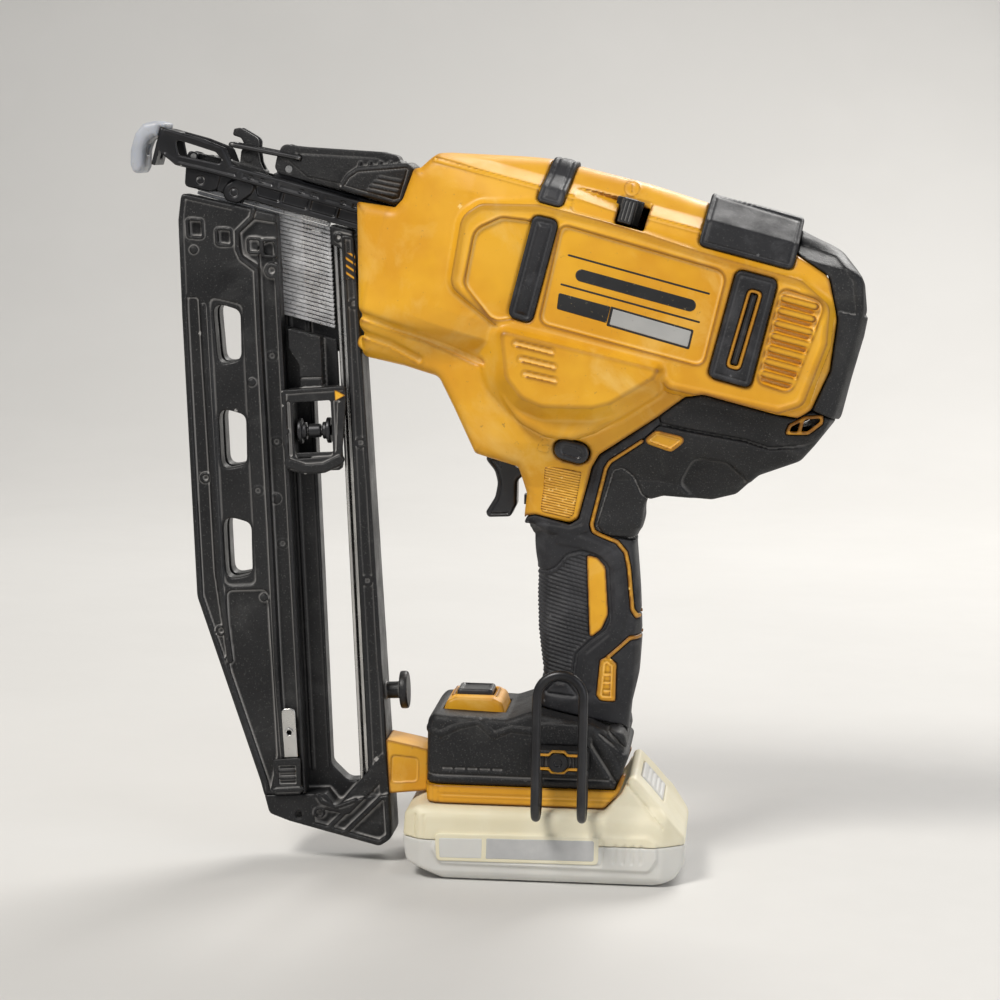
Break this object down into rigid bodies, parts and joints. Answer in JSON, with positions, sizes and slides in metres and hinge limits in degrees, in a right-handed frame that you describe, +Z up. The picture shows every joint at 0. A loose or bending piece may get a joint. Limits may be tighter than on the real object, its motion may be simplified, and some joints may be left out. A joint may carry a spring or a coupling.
{
  "type": "cordless angled finish nailer",
  "caption": "Cordless flywheel finish nailer with an angled open magazine, hinged nose door, contact trip, pistol grip, wire belt hook and slide-on battery pack.",
  "frame": {"origin": "middle of the battery pack's flat underside, in the tool's mid-plane", "axes": "+X to the rear, away from the nose; +Y to the tool's right side; +Z up, with the tool standing on its pack"},
  "size_m": [0.3063, 0.0965, 0.3104],
  "materials": {
    "yellow_shell": "moulded, fine satin grain",
    "black_shell": "moulded, spark-eroded texture",
    "rubber": "soft overmould, matt",
    "magazine_black": "glass-filled nylon, satin",
    "dark_steel": "black phosphate steel",
    "bright_steel": "ground and plated",
    "nail_steel": "galvanised wire, glued strip",
    "spring_steel": "drawn spring wire",
    "aluminium": "die cast",
    "pale_rubber": "pale translucent elastomer",
    "pack_cream": "moulded, satin",
    "pack_grey": "moulded, satin",
    "copper": "enamelled copper windings and laminations",
    "cell": "shrink-wrapped cells",
    "board": "printed circuit board",
    "button_black": "moulded, fine grain"
  },
  "bodies": {
    "tool": {"left_housing": "yellow_shell", "right_housing": "yellow_shell", "housing_screws": "dark_steel", "rear_cap": "black_shell", "rear_undercover": "black_shell", "top_strap": "rubber", "side_strips": "rubber", "bumper_frames": "rubber", "top_rear_bumper": "rubber", "grip_sleeve": "rubber", "grip_inlay": "yellow_shell", "foot_cover": "black_shell", "foot_frame": "black_shell", "foot_base_ring": "yellow_shell", "link_block": "yellow_shell", "mode_bezel": "yellow_shell", "belt_hook": "dark_steel", "belt_hook_screw": "bright_steel", "hook_insert": "bright_steel", "terminal_block": "button_black", "control_board": "board", "trigger_pin": "bright_steel", "trigger_spring": "spring_steel", "trigger_switch": "button_black", "inner_frame": "aluminium", "motor_stator": "copper", "motor_bearings": "bright_steel", "guide_rods": "bright_steel", "return_springs": "spring_steel", "front_stops": "rubber", "solenoid": "copper", "nosepiece": "dark_steel", "trip_spring": "spring_steel", "nose_pins": "bright_steel", "magazine_body": "magazine_black", "magazine_cover": "magazine_black", "magazine_rail": "bright_steel", "nail_strip": "nail_steel", "magazine_end_latch": "dark_steel"},
    "trigger": {"trigger": "button_black"},
    "lock_off": {"lock_off_button": "button_black"},
    "contact_trip": {"contact_trip": "dark_steel", "no_mar_tip": "pale_rubber"},
    "depth_wheel": {"depth_wheel": "button_black"},
    "stall_lever": {"stall_lever": "dark_steel"},
    "nose_door": {"nose_door": "dark_steel"},
    "latch_lever": {"latch_lever": "magazine_black"},
    "wire_bail": {"wire_bail": "spring_steel"},
    "pusher": {"pusher": "magazine_black", "pusher_reel": "spring_steel"},
    "flywheel": {"flywheel_rotor": "bright_steel"},
    "driver": {"driver": "bright_steel"},
    "activation_arm": {"activation_arm": "dark_steel"},
    "pinch_roller": {"pinch_roller": "bright_steel"},
    "solenoid_plunger": {"solenoid_plunger": "bright_steel"},
    "mode_button": {"mode_button": "button_black"},
    "battery": {"battery_upper": "pack_cream", "battery_lower": "pack_grey", "battery_cells": "cell"},
    "battery_release": {"battery_release": "pack_grey"}
  },
  "joints": [
    {"name": "trigger_pull", "type": "hinge", "parent": "tool", "child": "trigger", "pos_m": [-0.0084, 0, 0.1718], "axis": [0, -1, 0], "range_deg": [0, 8], "stiffness_Nm_per_rad": 0.35, "springref_deg": -5.16},
    {"name": "lock_off_slide", "type": "slide", "parent": "tool", "child": "lock_off", "axis": [0, 1, 0], "range_m": [0, 0.005]},
    {"name": "contact_trip_slide", "type": "slide", "parent": "tool", "child": "contact_trip", "axis": [0.9703, 0, -0.2419], "range_m": [0, 0.011], "stiffness_N_per_m": 350, "springref_m": -0.004, "deforming": ["trip_spring"]},
    {"name": "depth_wheel_turn", "type": "hinge", "parent": "tool", "child": "depth_wheel", "pos_m": [-0.0798, 0.0174, 0.26762], "axis": [0.9703, 0, -0.2419], "range_deg": [-150, 150]},
    {"name": "stall_lever_slide", "type": "slide", "parent": "tool", "child": "stall_lever", "axis": [0.9703, 0, -0.2419], "range_m": [0, 0.0045], "stiffness_N_per_m": 120, "springref_m": -0.003},
    {"name": "latch_lever_lift", "type": "hinge", "parent": "tool", "child": "latch_lever", "pos_m": [-0.10679, 0, 0.29166], "axis": [0, -1, 0], "range_deg": [0, 60]},
    {"name": "wire_bail_swing", "type": "hinge", "parent": "latch_lever", "child": "wire_bail", "pos_m": [-0.10252, 0, 0.29637], "axis": [0, 1, 0], "range_deg": [0, 60]},
    {"name": "nose_door_open", "type": "hinge", "parent": "tool", "child": "nose_door", "pos_m": [-0.14676, 0, 0.29627], "axis": [0, -1, 0], "range_deg": [0, 18]},
    {"name": "pusher_slide", "type": "slide", "parent": "tool", "child": "pusher", "axis": [0.061, 0, -0.9981], "range_m": [0, 0.115], "stiffness_N_per_m": 30, "springref_m": -0.12},
    {"name": "flywheel_spin", "type": "hinge", "parent": "tool", "child": "flywheel", "pos_m": [0.01686, 0, 0.21302], "axis": [0, 1, 0], "continuous": true},
    {"name": "driver_stroke", "type": "slide", "parent": "tool", "child": "driver", "axis": [-0.9703, 0, 0.2419], "range_m": [0, 0.072], "stiffness_N_per_m": 120, "springref_m": -0.03, "deforming": ["return_springs"]},
    {"name": "activation_arm_tilt", "type": "hinge", "parent": "tool", "child": "activation_arm", "pos_m": [0.05355, 0, 0.25684], "axis": [0, -1, 0], "range_deg": [0, 8], "stiffness_Nm_per_rad": 0.25, "springref_deg": -6.88},
    {"name": "pinch_roller_spin", "type": "hinge", "parent": "activation_arm", "child": "pinch_roller", "pos_m": [0.02837, 0, 0.26332], "axis": [0, 1, 0], "continuous": true},
    {"name": "solenoid_plunger_slide", "type": "slide", "parent": "tool", "child": "solenoid_plunger", "axis": [0.2419, 0, 0.9703], "range_m": [0, 0.0035]},
    {"name": "mode_button_press", "type": "slide", "parent": "tool", "child": "mode_button", "axis": [0, 0, -1], "range_m": [0, 0.0012], "stiffness_N_per_m": 500, "springref_m": -0.001},
    {"name": "battery_slide", "type": "slide", "parent": "tool", "child": "battery", "axis": [1, 0, 0], "range_m": [0, 0.11]},
    {"name": "battery_release_press", "type": "slide", "parent": "battery", "child": "battery_release", "axis": [-0.7431, 0, -0.6691], "range_m": [0, 0.0025], "stiffness_N_per_m": 500, "springref_m": -0.0015}
  ],
  "couplings": [
    {"joint": "wire_bail_swing", "follows": "latch_lever_lift", "ratio": 1},
    {"joint": "nose_door_open", "follows": "latch_lever_lift", "ratio": 0.3},
    {"joint": "solenoid_plunger_slide", "follows": "activation_arm_tilt", "m_per_rad": 0.02435}
  ]
}
